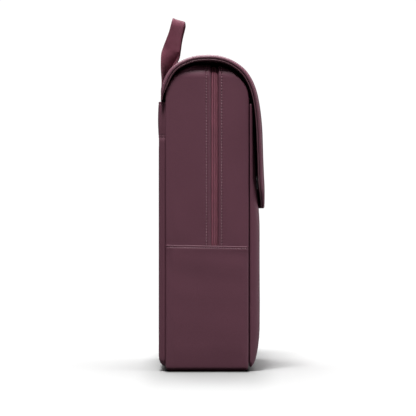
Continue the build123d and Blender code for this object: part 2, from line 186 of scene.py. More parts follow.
def swell(points, size, seed):
    """Slow unevenness of a skin, about -1 to 1, the same on every run."""
    waves = np.random.default_rng(seed)
    total = 0
    for _ in range(5):
        k = waves.normal(size=3)
        k *= 2 * math.pi / size / np.linalg.norm(k) * waves.uniform(0.6, 1.6)
        total = total + np.sin(points @ k + waves.uniform(0, 6.28))
    return total / 2.6


def edge_steps(radius, reach, count):
    """Distances from an edge: close together on its roll, then wider up to reach."""
    rolled = radius * (1 - np.cos(np.linspace(0, math.pi / 2, 6)))
    rest = np.linspace(radius, reach, count + 1)[1:]
    return np.concatenate([rolled, rest])


def smooth_curve(points, count):
    """Even points along a smooth curve through the given ones (centripetal Catmull-Rom)."""
    p = np.asarray(points, float)
    p = np.concatenate([[2 * p[0] - p[1]], p, [2 * p[-1] - p[-2]]])
    t = np.concatenate([[0], np.cumsum(np.sqrt(np.linalg.norm(np.diff(p, axis=0), axis=1)))])
    fine = []
    for k in range(1, len(p) - 2):
        for s in np.linspace(t[k], t[k + 1], 40, endpoint=False):
            a = [(t[k + i + 1] - s) / (t[k + i + 1] - t[k + i]) * p[k + i]
                 + (s - t[k + i]) / (t[k + i + 1] - t[k + i]) * p[k + i + 1] for i in (-1, 0, 1)]
            b = [(t[k + i + 1] - s) / (t[k + i + 1] - t[k + i - 1]) * a[i]
                 + (s - t[k + i - 1]) / (t[k + i + 1] - t[k + i - 1]) * a[i + 1] for i in (0, 1)]
            fine.append((t[k + 1] - s) / (t[k + 1] - t[k]) * b[0] + (s - t[k]) / (t[k + 1] - t[k]) * b[1])
    fine = np.array(fine + [p[-2]])
    return resample(fine, count)


def distances(line):
    """Distance along a line of points, from its start to each point."""
    return np.concatenate([[0], np.cumsum(np.linalg.norm(np.diff(line, axis=0), axis=1))])


def resample(line, count, values=None):
    """The line's points, or values given at them, at a count of even places or at given distances."""
    d = distances(line)
    values = line if values is None else values
    at = np.linspace(0, d[-1], count) if np.isscalar(count) else np.asarray(count, float)
    return np.stack([np.interp(at, d, values[:, k]) for k in range(values.shape[1])], 1)


def length_of(line):
    """The length of a line of points."""
    return float(np.linalg.norm(np.diff(line, axis=0), axis=1).sum())


# ---- stitching: real thread, one short rounded piece per stitch ----
STITCH_FORM = (  # place along half the stitch, share of its thickness, and lift
    (-1.0, 0.25, -0.30), (-0.72, 0.8, 0.0), (0.0, 1.0, 0.10), (0.72, 0.8, 0.0), (1.0, 0.25, -0.30),
)
THREAD_SIDES, THREAD_SINK = 6, 0.12


def stitch_row(line, up, pitch, length, thick):
    """Points and faces of a row of stitches on a line; up gives the skin's normal at its points."""
    line, up = np.asarray(line, float), np.asarray(up, float)
    count = max(int(length_of(line) / pitch), 1)
    centres = (np.arange(count) + 0.5) * pitch
    pos = resample(line, centres)
    t = unit(resample(line, centres + 0.5) - resample(line, centres - 0.5))
    n = unit(resample(line, centres, up))
    b = unit(np.cross(n, t))
    form = tube_faces(len(STITCH_FORM), THREAD_SIDES)
    verts, faces = [], []
    for k in range(count):
        faces += [[len(verts) + i for i in face] for face in form]
        for forward, fat, lift in STITCH_FORM:
            for a in np.arange(THREAD_SIDES) * 2 * math.pi / THREAD_SIDES:
                height = math.sin(a) * thick * 0.8 * fat + lift * thick * 2 - THREAD_SINK
                across = b[k] * math.cos(a) * thick * fat
                verts.append(pos[k] + t[k] * forward * length / 2 + across + n[k] * height)
    return verts, faces


def stitches(name, rows, body, **how):
    """One piece of thread stitches along several rows, each a line and its normals."""
    verts, faces = [], []
    for line, up in rows:
        row_verts, row_faces = stitch_row(line, up, **how)
        faces += [[i + len(verts) for i in face] for face in row_faces]
        verts += row_verts
    return dress(to_piece(name, verts, faces, body), "thread")


# ---- materials ----
def nodes_of(name):
    """A new material with its node tree and shader."""
    material = bpy.data.materials.new(name)
    material.use_nodes = True
    tree = material.node_tree
    return material, tree, tree.nodes["Principled BSDF"]


def feed(tree, node, inputs):
    """Links a node's inputs to sockets, and sets the others to values."""
    for key, value in inputs.items():
        if isinstance(value, bpy.types.NodeSocket):
            tree.links.new(value, node.inputs[key])
        else:
            node.inputs[key].default_value = value


def add(tree, kind, inputs=None, **settings):
    """A new node with its settings and inputs."""
    node = tree.nodes.new(kind)
    for key, value in settings.items():
        setattr(node, key, value)
    feed(tree, node, inputs or {})
    return node


def calc(tree, operation, *values):
    """The output of a maths node."""
    return add(tree, "ShaderNodeMath", dict(enumerate(values)), operation=operation).outputs[0]


def noise(tree, place, scale, detail, roughness=0.5):
    """The output of a noise texture."""
    inputs = {"Vector": place, "Scale": scale, "Detail": detail, "Roughness": roughness}
    return add(tree, "ShaderNodeTexNoise", inputs).outputs["Fac"]


def between(tree, factor, first, second, kind="MIX"):
    """The output of a colour mix."""
    inputs = {0: factor, 6: first, 7: second}
    return add(tree, "ShaderNodeMix", inputs, data_type="RGBA", blend_type=kind).outputs[2]


def spread(tree, value, low, high):
    """A value from 0..1 spread over low..high."""
    return add(tree, "ShaderNodeMapRange", {"Value": value, "To Min": low, "To Max": high}).outputs["Result"]


def bumped(tree, height, strength, distance):
    """The normal of a bump of a height."""
    inputs = {"Height": height, "Strength": strength, "Distance": distance}
    return add(tree, "ShaderNodeBump", inputs).outputs["Normal"]


def linear(srgb):
    """A screen colour (sRGB), as the shader wants it."""
    return tuple(c / 12.92 if c <= 0.04045 else ((c + 0.055) / 1.055) ** 2.4 for c in srgb) + (1.0,)


def scaled(colour, k):
    """A colour made lighter or darker."""
    return tuple(min(c * k, 1.0) for c in colour[:3]) + (1.0,)


def leather(name, srgb, rough, grain=1.0):
    """Coated leather: small pebbled grain, fine pores, slow colour and gloss variation."""
    material, tree, shader = nodes_of(name)
    colour = linear(srgb)
    place = add(tree, "ShaderNodeTexCoord").outputs["Object"]
    cells = add(tree, "ShaderNodeTexVoronoi", {"Vector": place, "Scale": 950.0, "Randomness": 1.0},
                feature="SMOOTH_F1").outputs["Distance"]
    slow = noise(tree, place, 14.0, 3.0, 0.6)
    crease = noise(tree, place, 210.0, 4.0, 0.7)
    tone = between(tree, slow, scaled(colour, 0.93), scaled(colour, 1.07))
    pebbles = calc(tree, "MULTIPLY", cells, 0.7)
    height = calc(tree, "MULTIPLY_ADD", noise(tree, place, 2600.0, 2.0), 0.3, pebbles)
    feed(tree, shader, {
        "Base Color": between(tree, 0.16, tone, cells, "MULTIPLY"),
        "Roughness": spread(tree, crease, rough - 0.05, rough + 0.07),
        "Normal": bumped(tree, height, 0.22 * grain, 0.00025),
        "Specular IOR Level": 0.27,
    })
    return material


def weave(name, srgb, rough, pitch, depth, uv=True, contrast=0.3):
    """A woven cloth: warp and weft as crossing waves, with uneven threads."""
    material, tree, shader = nodes_of(name)
    colour = linear(srgb)
    coords = add(tree, "ShaderNodeTexCoord").outputs
    split = add(tree, "ShaderNodeSeparateXYZ", {"Vector": coords["UV" if uv else "Object"]})
    waves = []
    for output, size in zip(("X", "Y") if uv else ("X", "Z"), pitch):
        turn = calc(tree, "MULTIPLY", split.outputs[output], 2 * math.pi / (size * MM))
        waves.append(calc(tree, "SINE", turn))
    cross = calc(tree, "MULTIPLY", *waves)
    height = calc(tree, "MULTIPLY_ADD", noise(tree, coords["Object"], 900.0, 3.0), 0.7, cross)
    level = add(tree, "ShaderNodeMapRange", {"Value": height, "From Min": -1.0, "From Max": 1.6})
    dark, pale = scaled(colour, 1 - contrast), scaled(colour, 1 + contrast)
    thread = between(tree, level.outputs["Result"], dark, pale)
    slow = noise(tree, coords["Object"], 60.0, 2.0)
    feed(tree, shader, {
        "Base Color": between(tree, 0.35, thread, slow, "MULTIPLY"),
        "Normal": bumped(tree, height, 0.6, depth),
        "Roughness": rough,
        "Sheen Weight": 0.06,
        "Specular IOR Level": 0.25,
    })
    return material


def spacer(name, srgb):
    """Padded spacer mesh: small round holes in a soft knit."""
    material, tree, shader = nodes_of(name)
    colour = linear(srgb)
    place = add(tree, "ShaderNodeTexCoord").outputs["Object"]
    holes = add(tree, "ShaderNodeTexVoronoi", {"Vector": place, "Scale": 420.0, "Randomness": 0.25})
    edge = add(tree, "ShaderNodeMapRange", {
        "Value": holes.outputs["Distance"], "From Min": 0.15, "From Max": 0.5}).outputs["Result"]
    height = calc(tree, "MULTIPLY_ADD", noise(tree, place, 1500.0, 3.0), 0.25, edge)
    feed(tree, shader, {
        "Base Color": between(tree, edge, scaled(colour, 0.45), scaled(colour, 1.15)),
        "Normal": bumped(tree, height, 0.7, 0.0005),
        "Roughness": 0.85,
        "Sheen Weight": 0.08,
    })
    return material


def hard(name, srgb, rough, metallic=0.0, scratches=0.06):
    """Moulded plastic or metal, with fine wear in its gloss."""
    material, tree, shader = nodes_of(name)
    colour = linear(srgb)
    wear = noise(tree, add(tree, "ShaderNodeTexCoord").outputs["Object"], 500.0, 5.0, 0.7)
    feed(tree, shader, {
        "Base Color": between(tree, wear, scaled(colour, 0.9), scaled(colour, 1.12)),
        "Roughness": spread(tree, wear, rough - scratches, rough + scratches),
        "Normal": bumped(tree, wear, 0.08, 0.0001),
        "Metallic": metallic,
    })
    return material


PLUM = (0.397, 0.240, 0.293)
MATERIALS = {
    "outer": leather("plum_leather", PLUM, 0.52),
    "edge": leather("plum_leather_edge", (0.42, 0.275, 0.315), 0.47, 0.6),
    "inner_edge": leather("plum_leather_fold", (0.36, 0.23, 0.265), 0.5, 0.6),
    "webbing": weave("plum_webbing", (0.44, 0.215, 0.282), 0.7, (1.6, 1.5), 0.0004),
    "tape": weave("plum_zip_tape", (0.49, 0.272, 0.33), 0.75, (0.8, 0.9), 0.0002),
    "ridge": weave("plum_zip_ridge", (0.55, 0.31, 0.375), 0.65, (1.25, 50.0), 0.0003),
    "thread": weave("plum_thread", (0.70, 0.52, 0.57), 0.6, (0.5, 0.5), 0.0001, uv=False, contrast=0.15),
    "lining": weave("plum_lining", (0.20, 0.125, 0.15), 0.85, (0.6, 0.6), 0.0001, uv=False),
    "cloth": weave("plum_cloth", (0.36, 0.23, 0.27), 0.8, (0.8, 0.8), 0.0002, uv=False),
    "mesh": spacer("plum_spacer_mesh", (0.37, 0.255, 0.29)),
    "metal": hard("gunmetal", (0.34, 0.33, 0.34), 0.34, 0.9),
    "plastic": hard("plum_plastic", (0.19, 0.13, 0.15), 0.45),
    "foam": hard("grey_foam", (0.3, 0.3, 0.31), 0.9),
    "board": hard("black_board", (0.1, 0.1, 0.11), 0.6),
}
BY_SLOT = {
    "outer_leather": "outer", "edge_leather": "edge", "webbing": "webbing", "zip_tape": "cloth",
    "zip_coil": "plastic", "dark_metal": "metal", "lining_cloth": "lining", "foam": "foam",
    "back_mesh": "mesh", "board": "board", "buckle": "plastic",
}
for part in frame["record"]["subparts"]:
    node = frame["nodes"][part["node"]]
    node.data.materials.clear()
    node.data.materials.append(MATERIALS[BY_SLOT[part["material_slot"]]])


def dress(piece, material):
    """Gives a piece its material."""
    piece.data.materials.append(MATERIALS[material])
    return piece


# ---- the bag's upper body: one skin behind the zip and one in front of it ----
def hull_top(y):
    """Height of the arched top over a place front to back."""
    y = np.asarray(y, float)
    rear = REAR_SHOULDER + (TOP - REAR_SHOULDER) * np.sqrt(
        np.clip(1 - ((y - CROWN_Y) / (REAR - CROWN_Y)) ** 2, 0, 1))
    front = FRONT_SHOULDER + (TOP - FRONT_SHOULDER) * np.sqrt(
        np.clip(1 - ((CROWN_Y - y) / (CROWN_Y - FRONT_EDGE)) ** 2, 0, 1))
    return np.where(y > CROWN_Y, rear, front)


TUCK = 164.0  # the upper panels reach down behind the lower one
STEP = 1.0  # between points up the sides and over the top
STITCH = 4.0  # from one stitch to the next
SHOULDER, EDGE_RADIUS = 18.0, 5.0  # the side's wide shoulder, and the arch's own edge


def over_path(y, inset=0.0):
    """Points up the left side, over the top and down the right side at each y, inset into the bag."""
    y = np.asarray(y, float)
    top = hull_top(y) - inset
    half = HALF - inset
    side_steps = int((TOP - TUCK) / STEP)
    top_steps = int((2 * half - 2 * SHOULDER) / STEP / 1.5)
    rows = []
    for yy, tt in zip(y, top):
        tilt = 0.0
        for _ in range(6):  # where the small edge radius takes over from the wide shoulder
            end = tt - EDGE_RADIUS * (1 - math.sin(tilt))
            tilt = math.asin(min(max((end - TOP + SHOULDER) / (SHOULDER + inset * 0.5), 0), 0.98))
        side = np.linspace(TUCK, end, side_steps)
        rise = np.clip(side - TOP + SHOULDER + inset * 0.5, 0, None)
        lean = SHOULDER - np.sqrt(np.maximum(SHOULDER**2 - np.minimum(rise, SHOULDER * 0.98) ** 2, 0))
        turn = np.linspace(tilt, math.pi / 2, 9)[1:]
        x = np.concatenate([-half + lean, -half + lean[-1] + EDGE_RADIUS * (math.cos(tilt) - np.cos(turn))])
        z = np.concatenate([side, end + EDGE_RADIUS * (np.sin(turn) - math.sin(tilt))])
        across = np.linspace(x[-1], -x[-1], top_steps)[1:-1]
        rows.append(np.stack([
            np.concatenate([x, across, -x[::-1]]),
            np.full(2 * len(x) + len(across), yy),
            np.concatenate([z, np.full(len(across), z[-1]), z[::-1]]),
        ], 1))
    return np.array(rows)


def steps_between(start, end, dense_start, dense_end, extra=()):
    """Places from start to end, close together at rolled ends and round the extra places."""
    span = abs(end - start)
    sign = 1 if end > start else -1
    from_start = edge_steps(dense_start, min(10, span / 3), 3)
    from_end = span - edge_steps(dense_end, min(10, span / 3), 3)[::-1]
    middle = np.linspace(from_start[-1], from_end[0], max(int(span / 4), 3))[1:-1]
    places = np.concatenate([from_start, middle, from_end])
    for place in extra:
        at = abs(place - start)
        places = places[np.abs(places - at) > 1.7]
        places = np.concatenate([places, at + np.array([-1.6, -1.0, -0.6, -0.25, 0, 0.25, 0.6, 1.0, 1.6])])
    return start + sign * np.unique(np.round(places, 3))


def skin(y, lip_roll, edge_roll, crease_y, seed, name, replaces, crest=0.0):
    """One upper skin from its zip lip to its outer edge; gives the skin's normals back."""
    base = over_path(y)
    n = normals(base)
    d = along(base, 0)
    drop = roll(d, lip_roll) + roll(d[-1] - d, edge_roll)
    crease = 0.42 * np.exp(-(((base[..., 1] - crease_y) / 0.55) ** 2))
    run = along(base, 1)
    across = np.abs(base[..., 1] - crease_y)
    pull = 0.5 + 0.5 * np.cos(2 * math.pi * run / STITCH)
    dimple = 1.5 * pull**3 * np.exp(-((across / 0.75) ** 2)) + 0.16 * pull * np.exp(-across / 4)
    flat = ease(d / 14) * ease((d[-1] - d) / 16) * ease((base[..., 2] - TUCK) / 30)
    streak = np.sin(base[..., 1] * 2.1 + 0.5) * np.exp(-across / 7) * ease((base[..., 2] - 300) / 80)
    puff = 0.55 * flat + 0.28 * flat * swell(base, 70, seed) + 0.12 * streak * flat
    puff = puff + crest * np.exp(-(((d - lip_roll - 0.6) / 1.3) ** 2))
    outer = base + n * (puff - drop - crease - dimple)[..., None]
    inner = base - n * (1.3 + np.maximum(drop, 0))[..., None]
    dress(closed(name, outer, inner, "bag", "outer_leather", replaces), "outer")
    return n


REAR_STITCH, FRONT_STITCH = LIP_REAR + 5.7, LIP_FRONT - 4.2
rear_y = steps_between(LIP_REAR - 1.1, REAR, 4.2, 3.4, [REAR_STITCH])
front_y = steps_between(LIP_FRONT + 0.4, FRONT_EDGE, 1.7, 2.2, [FRONT_STITCH])
rear_n = skin(rear_y, 4.2, 3.4, REAR_STITCH, 3, "rear_skin",
              ["side_rear_left", "side_rear_right", "top_rear"], 0.2)
front_n = skin(front_y, 1.7, 2.2, FRONT_STITCH, 4, "front_skin",
               ["side_front_left", "side_front_right", "top_front"], 0.5)
stitches("zip_stitches", [
    (over_path([REAR_STITCH])[0], rear_n[int(np.argmin(abs(rear_y - REAR_STITCH)))]),
    (over_path([FRONT_STITCH])[0], front_n[int(np.argmin(abs(front_y - FRONT_STITCH)))]),
], "bag", pitch=STITCH, length=2.7, thick=0.46)


# ---- lower body: one deep shell with its top edge folded over the upper panels ----
SEAM_STITCH, SEAM_ROW = 3.3, 3.1  # the row's pitch, and how far it lies under the seam
SEAM_RISE = 1.1  # the cross seam runs slightly uphill to the back
FOOT_EDGE = (  # inwards from the side, and height
    (7, 0), (4.8, 0.4), (3.1, 1.1), (1.9, 2), (1, 3.1), (0.4, 4.4), (0.1, 5.8), (0, 7.5),
)
UNDER_SEAM = (7, 5.6, 4.6, 4.0, 3.6, 3.35, 3.1, 2.85, 2.6, 2.2, 1.7, 1.2, 0.8, 0.45, 0.2, 0.05, 0)


def ring_at(half, front, rear, radius):
    """A rounded rectangle in plan, from the left side's front end round the bag."""
    ring = []
    corners = ((-half, front, 180, 56), (half, front, 270, 120), (half, rear, 0, 56), (-half, rear, 90, 120))
    for k, (cx, cy, start, count) in enumerate(corners):
        ox, oy = cx - math.copysign(radius, cx), cy - math.copysign(radius, cy - (front + rear) / 2)
        for a in np.radians(start + 90 * np.arange(6) / 5):
            ring.append((ox + radius * math.cos(a), oy + radius * math.sin(a)))
        straight_end = ((half - radius, front), (half, rear - radius), (-half + radius, rear),
                        (-half, front + radius))[k]
        last = np.array(ring[-1])
        for step in range(1, count):
            ring.append(tuple(last + (np.array(straight_end) - last) * step / count))
    return np.array(ring)


def shell_ring(inset, z, proud):
    """One level of the lower shell, with the sides' swell, the folded top edge and the stitches' pull."""
    ring = ring_at(HALF - inset + proud, FRONT_EDGE + inset * 1.53, REAR - inset * 1.7, 3.2)
    level = np.column_stack([ring, np.full(len(ring), z)])
    pull = 0.5 + 0.5 * np.cos(2 * math.pi * (ring[:, 1] - FRONT_EDGE - 3) / SEAM_STITCH)
    crease = (0.35 + 1.1 * pull**3) * math.exp(-(((z - (SEAM - SEAM_ROW)) / 0.6) ** 2))
    from_middle = np.abs(ring[:, 1] - MIDDLE_Y)
    on_side = ease((np.abs(ring[:, 0]) - HALF + 4) / 3) * (1 - ease((from_middle - 44) / 12))
    puff = 0.5 * on_side * ease((z - 10) / 25) * ease((SEAM - z) / 10)
    puff = puff + 0.3 * on_side * ease((z - 10) / 25) * ease((SEAM - z) / 14) * swell(level, 65, 9)
    out = puff - float(roll(SEAM - z, 1.2)) - crease
    level[:, 0] += np.sign(ring[:, 0]) * out * (np.abs(ring[:, 0]) > HALF - 4)
    level[:, 2] += SEAM_RISE * ease((z - SEAM + 20) / 20) * (ring[:, 1] - MIDDLE_Y) / HALF_DEPTH
    return level


def lower_shell():
    """The deep lower shell: its rounded foot, its sides up to the cross seam, and its inner face."""
    rings = [shell_ring(inset, z, 0.0) for inset, z in smooth_curve(FOOT_EDGE, 14)]
    heights = list(np.linspace(FOOT_EDGE[-1][1], SEAM - 9, 34)[1:]) + [SEAM - v for v in UNDER_SEAM]
    rings += [shell_ring(0.0, z, 0.7 * ease((z - SEAM + 12) / 9)) for z in heights]
    for z in (SEAM - 1.0, SEAM - 12, 120, 60, 12, 4.0):
        ring = ring_at(HALF - 3.2, FRONT_EDGE + 3.2, REAR - 3.2, 2.0)
        rings.append(np.column_stack([ring, np.full(len(ring), z)]))
    sides = len(rings[0])
    verts = np.concatenate(rings)
    faces = tube_faces(len(rings), sides, capped=False)
    for r in (0, len(rings) - 1):
        centre = len(verts)
        verts = np.concatenate([verts, rings[r].mean(0)[None]])
        for k in range(sides):
            a, b = r * sides + k, r * sides + (k + 1) % sides
            faces.append([b, a, centre] if r == 0 else [a, b, centre])
    piece = to_piece("lower_shell", verts, faces, "bag",
                     ["base_panel", "side_lower_left", "side_lower_right"])
    return dress(weld(piece), "outer")


def seam_row(side):
    """The stitch line under the cross seam on one side."""
    y = np.linspace(FRONT_EDGE + 3, REAR - 4, 60)
    z = SEAM - SEAM_ROW + SEAM_RISE * (y - MIDDLE_Y) / HALF_DEPTH
    return np.column_stack([np.full(60, side * (HALF + 0.6)), y, z]), np.tile([side, 0, 0], (60, 1))


lower_shell()
stitches("seam_stitches", [seam_row(-1), seam_row(1)], "bag", pitch=SEAM_STITCH, length=2.3, thick=0.42)


# ---- zip ----
ZIP_SHIFT = 1.1  # the closed teeth lie a little behind the middle of the gap, half under the rear lip
RIB = 0.62  # length of one rib of the ridge
TAPES = {  # each tape's points across the zip, and their depths under the hull
    "rear": ((0.12, 0.3, 2.9, 3.6, 6.0), (4.2, 2.9, 2.7, 3.2, 3.6)),
    "front": ((-0.12, -0.3, -2.9, -3.2, -4.9, -5.4, -5.9, -7.4), (4.2, 2.9, 2.7, 2.6, 2.6, 2.9, 4.6, 4.8)),
}
RIDGE = ((0.2, 0.35, 0.8, 1.4, 2.0, 2.45, 2.6), (2.9, 2.3, 1.9, 1.8, 1.9, 2.3, 2.9))


def zip_strip(name, offsets, depths, back, material, slot, replaces, ribs=False):
    """A strip along the whole zip: offsets from the zip's middle and depth of each under the hull."""
    path = over_path([ZIP_Y])[0]
    if ribs:
        path = resample(path[4:-4], int(length_of(path) / RIB))
    base = np.tile(path, (len(offsets), 1, 1))
    n = normals(np.stack([path + (0, 3, 0), path, path - (0, 3, 0)]))[1]
    run = along(base, 1)
    base[..., 1] += np.asarray(offsets)[:, None]
    depth = np.tile(np.asarray(depths, float)[:, None], (1, len(path)))
    if ribs:
        crown = np.cos(np.linspace(-math.pi / 2, math.pi / 2, len(offsets)))[:, None]
        depth = depth - 0.16 * crown * (np.arange(len(path)) % 2)[None]
    outer = base - n[None] * depth[..., None]
    inner = base - n[None] * back
    uv = np.stack([run, base[..., 1]], -1)
    return dress(closed(name, outer, inner, "bag", slot, replaces, uv), material)


def zip_nodes(kind, tag):
    """The CAD nodes of a kind, all stood for by the rear strip."""
    return [f"zip_{kind}_{place}" for place in ("left", "right", "top")] if tag == "rear" else []


for tag, (offsets, depths) in TAPES.items():
    side = math.copysign(1, offsets[0])
    zip_strip(f"zip_tape_{tag}", [v + ZIP_SHIFT for v in offsets], depths, 5.2, "tape", "zip_tape",
              zip_nodes("tape", tag))
    offsets, depths = RIDGE
    zip_strip(f"zip_ridge_{tag}", [side * v + ZIP_SHIFT for v in offsets], depths, 3.0, "ridge",
              "zip_coil", zip_nodes("coil", tag), ribs=True)


# ---- front wall and pocket ----
def rounded_plan(length, half, radii, p_steps, q_steps):
    """A grid on a rounded rectangle p 0..length, q -half..half, with each point's distance to its edge.
    radii are the corner radii at p = 0 and at p = length; the steps are distances from the edges."""
    p_steps = [np.asarray(s, float) for s in p_steps]
    p = np.concatenate([p_steps[0], p_steps[1], length - p_steps[2][::-1]])
    q_edge, q_mid = q_steps
    share = np.concatenate([1 - q_edge / half, q_mid])
    share = np.unique(np.round(np.concatenate([share, -share]), 6))
    grid_p, grid_q, dist = [], [], []
    for pp in p:
        width = half
        for end, radius in ((pp, radii[0]), (length - pp, radii[1])):
            if end < radius:
                width = min(width, half - radius + math.sqrt(max(radius**2 - (radius - end) ** 2, 0)))
        q = share * width
        d = np.minimum(half - np.abs(q), min(pp, length - pp))
        for end, radius in ((pp, radii[0]), (length - pp, radii[1])):
            if end < radius:
                inside = np.abs(q) > half - radius
                corner = radius - np.hypot(radius - end, np.abs(q) - (half - radius))
                d = np.where(inside, np.minimum(d, corner), d)
        grid_p.append(np.full(len(q), pp))
        grid_q.append(q)
        dist.append(np.maximum(d, 0))
    return np.array(grid_p), np.array(grid_q), np.array(dist)


def mids(reach, span, size):
    """Even places about size apart, between reach and span - reach."""
    return np.linspace(reach, span - reach, max(int((span - 2 * reach) / size), 2))[1:-1]


pocket_low, pocket_high = node_box("front_pocket")
POCKET_BACK = FRONT - SEAM_GAP
FOOT = 60.0  # height over which the pocket's foot rounds in
POCKET_MIDDLE = (  # height, and depth of the pocket there
    (185, 13.6), (205, 13.4), (222, 12.4), (240, 10.6), (259, 9.2), (302, 7.2), (335, 6.1), (366, 4.8),
)
POCKET_EDGE = (  # the same along its side edges, which are thinner under the flap
    (185, 13.6), (205, 13.4), (222, 12.0), (240, 8.4), (259, 4.9), (302, 4.0), (335, 3.7), (366, 3.4),
)


def pocket_depth(z, side):
    """How far the pocket's face stands in front of its back, at a height and a distance from its side."""
    low = np.sqrt(np.clip(1 - (np.clip(FOOT - (z - pocket_low[2]), 0, FOOT) / FOOT) ** 2, 0, 1))
    middle = np.interp(z, *zip(*POCKET_MIDDLE))
    edge = np.interp(z, *zip(*POCKET_EDGE))
    turn = np.interp(z, (215, 255), (9.0, 3.5))
    bulge = (1 - (1 - np.clip(side / turn, 0, 1)) ** 2.3) ** (1 / 2.3)
    return low * (edge * bulge + (middle - edge) * ease((side - 3) / 30)), bulge


def front_pocket():
    """The pocket's padded panel: full depth at its foot, thin under the flap, its edge rolled to the seam."""
    z0, z1, half = pocket_low[2], pocket_high[2], pocket_high[0]
    q_edge = np.concatenate([[0, 0.12, 0.5, 1.1], np.linspace(2, 12, 8), [16, 22, 30, 42]])
    q_mid = np.linspace(-0.66, 0.66, 25)
    low_steps = FOOT * (1 - np.cos(np.linspace(0, math.pi / 2, 18)))
    p_steps = (low_steps, mids(FOOT, z1 - z0, 5.5)[:-2], [0, 0.3, 0.8, 1.6, 3, 6])
    p, q, d = rounded_plan(z1 - z0, half, (9, 2), p_steps, (q_edge, q_mid))
    z, side = z0 + p, half - np.abs(q)
    depth, bulge = pocket_depth(z, side)
    crown = 0.9 * ease(side / 70) * ease((z - 20) / 60) * ease((250 - z) / 40) * (bulge > 0.9)
    back = np.stack([q, np.full_like(q, POCKET_BACK), z], -1)
    wobble = 0.3 * ease(side / 25) * ease((z - 20) / 40) * swell(back, 90, 12)
    face = back.copy()
    face[..., 1] -= np.where((d > 0) & (z < z1 - 1e-6), depth + crown + wobble, 0)
    piece = closed("pocket_panel", face, back, "bag", "outer_leather", ["front_pocket", "front_foam"])
    dress(piece, "outer")


front_pocket()


def wall(name, y, outwards, z_low, z_high, half, replaces, thick):
    """A flat sewn wall with rounded edges, one of the body's front or rear."""
    steps = np.array([0, 0.2, 0.7, 1.6, 4, 10])
    p, q, d = rounded_plan(z_high - z_low, half, (8, 3), (steps, mids(10, z_high - z_low, 12), steps),
                           (steps, np.linspace(-0.9, 0.9, 23)))
    out = np.array([0, outwards, 0.0])
    mid = np.stack([q, np.full_like(q, y), z_low + p], -1) - out * thick / 2
    sides = bull(d, thick / 2)[..., None]
    face, back = mid + out * sides, mid - out * sides
    dress(closed(name, face, back, "bag", "outer_leather", replaces), "outer")


wall("front_panel", FRONT, -1, 12, FRONT_SHOULDER + 2, HALF - 3.5, ["front_wall"], 1.7)
wall("rear_panel", REAR - 0.1, 1, 12, REAR_SHOULDER + 1, HALF - 4, ["rear_wall"], 1.6)


# ---- flap ----
FLAP_SIDE = (  # the flap's outer line from the side: front to back, and height
    (66.5, 370.5), (66.1, 380), (63.1, 395.5), (54.2, 412.2), (43.5, 421.8), (24, 430.3), (1.9, 432.6),
    (-14.5, 431.2), (-30.9, 425.5), (-47.3, 413.8), (-57.5, 399.6), (-63.9, 384.0), (-67.6, 367.9),
    (-70.6, 343.7), (-72.6, 305), (-74.2, 262), (-75.4, 236), (-76.6, 223.2),
)
FLAP_HALF, FLAP_CORNER = node_box("flap_binding")[1][0], 30.0
flap_line = smooth_curve(FLAP_SIDE, 500)
FLAP_LENGTH = length_of(flap_line)
over_pocket = (flap_line[:, 0] < 0) & (flap_line[:, 1] < FRONT_SHOULDER)
TO_POCKET = length_of(flap_line[:int(np.argmax(over_pocket))])


def flap_frame(p):
    """Point on the flap's outer curve and outward direction at distances p from its root."""
    at = resample(flap_line, np.clip(p, 0, FLAP_LENGTH).ravel())
    ahead = resample(flap_line, np.clip(p.ravel() + 1.5, 0, FLAP_LENGTH))
    behind = resample(flap_line, np.clip(p.ravel() - 1.5, 0, FLAP_LENGTH))
    t = unit(ahead - behind)
    n = np.stack([t[:, 1], -t[:, 0]], 1)
    return at.reshape(p.shape + (2,)), n.reshape(p.shape + (2,))


def flap_edge(p, q, half, length, radius):
    """Distance to the flap's free edges, its two sides and its rounded hem."""
    side, hem = half - np.abs(q), length - p
    near = (side < radius) & (hem < radius)
    corner = radius - np.hypot(radius - side, radius - hem)
    return np.maximum(np.where(near, corner, np.minimum(side, hem)), 0)


def flap_sheet(name, depth, radius, crown, inset, material, slot, replaces, seed, crease=0.0, sag=0.0):
    """One layer of the flap, at a depth under its outer line: crown swells it outwards, sag inwards."""
    steps = np.array([0, 0.06, 0.25, 0.55, 1.0, 1.7, 2.6, 3.3, 3.8, 4.2, 4.6, 5.2, 6.5, 9, 13, 18, 24, 31])
    half, length, corner = FLAP_HALF - inset, FLAP_LENGTH - inset, FLAP_CORNER - inset
    p_steps = ([0, 0.4, 1.2, 2.5, 4], mids(4, length - 27, 4.2), steps)
    p, q, d = rounded_plan(length, half, (0.4, corner), p_steps, (steps, np.linspace(-0.78, 0.78, 33)))
    free = np.minimum(half - np.abs(q), length - p)
    free = np.where(free < 32, flap_edge(p, q, half, length, corner), free)
    at, n = flap_frame(p)
    hem = ease((p - length + 38) / 32)
    root = ease(p / 26)
    down = bull(free, radius) * (0.4 + 0.6 * root) * (1 - 0.2 * hem) * (p > 0)
    up = down + crown * (1 - 0.3 * hem) * (1 - np.exp(-free / 8)) * ease(p / 20)
    up = up - crease * np.exp(-(((free - 4.6) / 0.7) ** 2)) * ease(p / 10)
    down = down + sag * ease((free - 14) / 30) * ease((p - 20) / 30) * (1 - ease((p - TO_POCKET + 12) / 14))
    flat = np.stack([q, at[..., 0], at[..., 1]], -1)
    up = up + 0.28 * ease(free / 30) * ease(p / 40) * swell(flat, 80, seed)
    up, down = np.where(d > 0, up, 0), np.where(d > 0, down, 0)
    n3 = np.stack([np.zeros_like(q), n[..., 0], n[..., 1]], -1)
    mid = flat - n3 * (depth * (0.3 + 0.7 * root) * (1 - 0.26 * hem))[..., None]
    piece = closed(name, mid + n3 * up[..., None], mid - n3 * down[..., None], "flap", slot, replaces)
    dress(piece, material)


